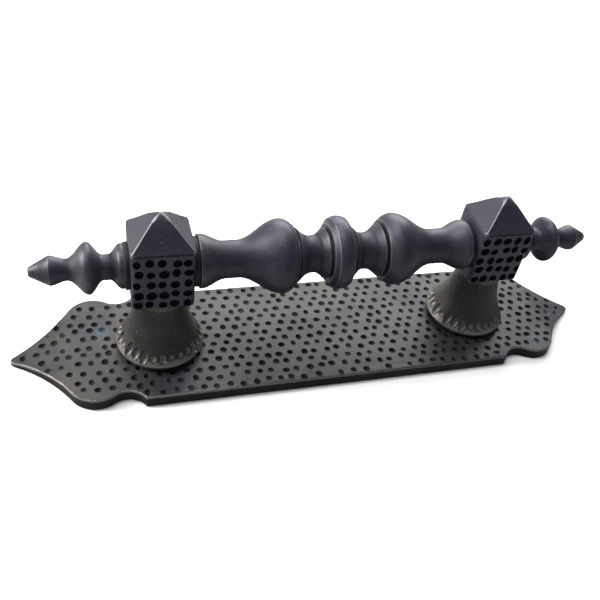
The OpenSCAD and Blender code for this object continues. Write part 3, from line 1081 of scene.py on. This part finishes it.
def head_blank(node):
    """The head's blank, and the height at which its point starts."""
    low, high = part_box(node)
    middle = (low + high) / 2
    half_x, half_y = (high.x - low.x) / 2, (high.y - low.y) / 2
    base = max(v.co.z for v in nodes[node].data.vertices if abs(v.co.x - middle.x) > half_x - NEAR)
    line = base - LINE_HEIGHT
    block = [  # inset, height, rubbing
        (0.6 * MM, low.z, 0.5), (0.18 * MM, low.z + 0.15 * MM, 1.0),
        (0.0, low.z + 0.6 * MM, 0.8), (0.0, low.z + 1.2 * MM, 0.35),
        (0.0, line - 0.8 * MM, 0.35), (0.0, line - 0.25 * MM, 0.5),
        (0.1 * MM, line - 0.05 * MM, 0.6), (LINE_DEPTH, line + 0.1 * MM, 0.0),
        (LINE_DEPTH, base - 0.12 * MM, 0.0), (0.06 * MM, base - 0.02 * MM, 0.6)]
    levels = [(half_x - by, half_y - by, height, CORNER, rub) for by, height, rub in block]
    # The point's levels take full wear and highlight, so its hips are worn and carry a painted highlight.
    for up in POINT_SHARES:
        corner = CORNER + (HIP - CORNER) * min(1.0, up / HIP_FROM)
        corner += TIP_CORNER * max(0.0, up - TIP_FROM)
        wide = point_share(up)
        levels.append((half_x * wide, half_y * wide, base + up * (high.z - base), corner, 1.0))
    verts, rubbed, rings, faces = [], [], [], []
    for wide_x, wide_y, height, corner, rub in levels:
        ring = rounded_rectangle(wide_x, wide_y, corner)
        rings.append(range(len(verts), len(verts) + len(ring)))
        verts += [Vector((middle.x + x, middle.y + y, height)) for x, y, _ in ring]
        rubbed += [rub * worn for _, _, worn in ring]
    for a, b in zip(rings, rings[1:]):
        faces += [(a[k], a[(k + 1) % len(a)], b[(k + 1) % len(a)], b[k]) for k in range(len(a))]
    # The apex takes full wear and highlight, which paints a glint on it.
    verts.append(Vector((middle.x, middle.y, high.z - TIP_WORN)))
    rubbed.append(1.0)
    tip = len(verts) - 1
    last = rings[-1]
    faces += [(last[k], last[(k + 1) % len(last)], tip) for k in range(len(last))]
    faces.append(list(reversed(rings[0])))
    numbers = {"rubbed": rubbed, "grime": [0.0] * len(verts)}
    return finished_mesh(node + "_block", verts, faces, numbers), base


print("head corners:", CORNER / MM, "mm upright,", HIP / MM, "mm on the hips")

# %% [markdown]
# The stud of the pillar and the tie rod pass into the head through two bores that cross without meeting.
# They are drilled with plain round cutters before the faces are pitted. The pit tree runs twice, once for
# each long face, turned a quarter turn so that its flat layer of balls stands upright.

# %% Drill and pit the heads
STUD_BORE = 5.1 * MM
STUD_ROOM = 0.1 * MM
ROD_BORE = 3.2 * MM
CUTTER_SEGMENTS = 48
HEAD_PIT_COLUMNS = 5
HEAD_PIT_ROWS = 5
HEAD_PIT_LIFT = 0.1 * MM
HEAD_PIT_MIDDLE = 0.467
HEAD_PITS_WIDE = 0.79
HEAD_PITS_TALL = 0.765


def round_cutter(start, end, radius, axis, middle):
    """A plain round cutter from start to end along an axis."""
    points = [(start, 0), (start, radius), (end, radius), (end, 0)]
    return turn("drill", [(*p, 0.0) for p in points], False, axis, middle, CUTTER_SEGMENTS, 0.0)


for number, node in enumerate(("head_left", "head_right")):
    low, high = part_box(node)
    middle = (low + high) / 2
    rod_low, rod_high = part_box("tie_rod")
    bar_middle = Vector((middle.x, 0, (rod_low.z + rod_high.z) / 2))
    pillar_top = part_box(node.replace("head", "pillar"))[1].z
    mesh, base = head_blank(node)
    # The head pits take the near-black pit finish, which is partly painted shade.
    head = piece(node + "_block", mesh, head_iron, pit_shade_iron)
    bore(head, [
        round_cutter(low.z - THROUGH, pillar_top + STUD_ROOM, STUD_BORE, UPWARDS, middle),
        round_cutter(low.x - THROUGH, high.x + THROUGH, ROD_BORE, ALONG, bar_middle)])
    wide, tall = high.x - low.x, base - low.z
    for side in (-1, 1):
        face_at = Vector((middle.x, side * (high.y + HEAD_PIT_LIFT), low.z + tall * HEAD_PIT_MIDDLE))
        apply_tree(head, PITS, {
            "Across": wide * HEAD_PITS_WIDE, "Along": tall * HEAD_PITS_TALL,
            "Columns": HEAD_PIT_COLUMNS, "Rows": HEAD_PIT_ROWS,
            "Stagger": 0.2, "Jitter": 0.6 * MM, "Flat half": wide, "Fall": 0.0, "Margin": 0.0,
            "Pit radius": 2.0 * MM, "Pit depth": 1.7 * MM, "Spread": 0.18, "Depth spread": 0.2,
            "Place": face_at, "Turn": (math.pi / 2, 0, 0), "Seed": 20 + 2 * number + side,
            "Pit finish": pit_shade_iron})
    stand_in_for(head, node)
    print(node, "faces:", len(head.data.polygons))

# %% [markdown]
# ## Floor and light
#
# A white floor and one large soft window behind and above give the plate its even grey and leave the near
# faces dark. A wide lamp overhead lights the top of the bar, and a small warm one picks out the left
# sides. The floor is only as large as the lamps keep it white. It looks lighter to the camera than to the
# iron, so that the paper stays white without washing out the undersides. Beyond it the camera sees a white
# world, which lights the shadows with a weaker, bluer tone.

# %% Light the stage
AIM = Vector((0, 0, 0.03))
FLOOR_HALF = 0.5
PAPER_SEEN = (0.94, 0.93, 0.90, 1)
PAPER_BOUNCE = (0.42, 0.415, 0.41, 1)
ROOM_SEEN = (1, 1, 1, 1)
ROOM_FILL = (0.82, 0.87, 1.0, 1)
ROOM_FILL_STRENGTH = 0.3


def area_light(name, place, size_x, size_y, energy, colour):
    """A soft rectangular lamp that looks at the handle."""
    lamp = bpy.data.lights.new(name, "AREA")
    lamp.shape = "RECTANGLE"
    lamp.size, lamp.size_y = size_x, size_y
    lamp.energy = energy
    lamp.color = colour
    made = bpy.data.objects.new(name, lamp)
    scene.collection.objects.link(made)
    made.location = place
    made.rotation_mode = "QUATERNION"
    made.rotation_quaternion = (AIM - place).to_track_quat("-Z", "Y")


def stage_floor():
    """A square of white paper under the plate."""
    size = FLOOR_HALF
    mesh = bpy.data.meshes.new("floor")
    corners = [(-size, -size, 0), (size, -size, 0), (size, size, 0), (-size, size, 0)]
    mesh.from_pydata(corners, [], [(0, 1, 2, 3)])
    material = bpy.data.materials.new("white_paper")
    material.use_nodes = True
    material.node_tree.nodes.clear()
    graph = Graph(material.node_tree)
    seen = graph.add("ShaderNodeLightPath", out="Is Camera Ray")
    shader = graph.add("ShaderNodeBsdfPrincipled", {}, {
        "Base Color": blend(graph, seen, PAPER_BOUNCE, PAPER_SEEN),
        "Roughness": 0.95, "Specular IOR Level": 0.0})
    graph.add("ShaderNodeOutputMaterial", {}, {"Surface": shader})
    made = piece("floor", mesh, material)


stage_floor()
area_light("window", Vector((0.38, 0.95, 0.66)), 1.2, 0.8, energy=22, colour=(1.0, 0.985, 0.96))
area_light("overhead", Vector((-0.3, 0.3, 1.2)), 0.9, 0.9, energy=17, colour=(0.98, 0.985, 1.0))
area_light("side_lamp", Vector((-0.83, 0.25, 0.44)), 0.5, 0.4, energy=16, colour=(1.0, 0.97, 0.9))
world = bpy.data.worlds.new("pale_room")
world.use_nodes = True
world.node_tree.nodes.clear()
sky = Graph(world.node_tree)
fill = sky.add("ShaderNodeBackground", {}, {"Color": ROOM_FILL, "Strength": ROOM_FILL_STRENGTH})
paper = sky.add("ShaderNodeBackground", {}, {"Color": ROOM_SEEN, "Strength": 1.0})
seen = sky.add("ShaderNodeLightPath", out="Is Camera Ray")
room = sky.add("ShaderNodeMixShader", {}, {0: seen, 1: fill, 2: paper})
sky.add("ShaderNodeOutputWorld", {}, {"Surface": room})
scene.world = world
scene.view_settings.view_transform = "Standard"
print("stage: floor, three lamps and a pale world")
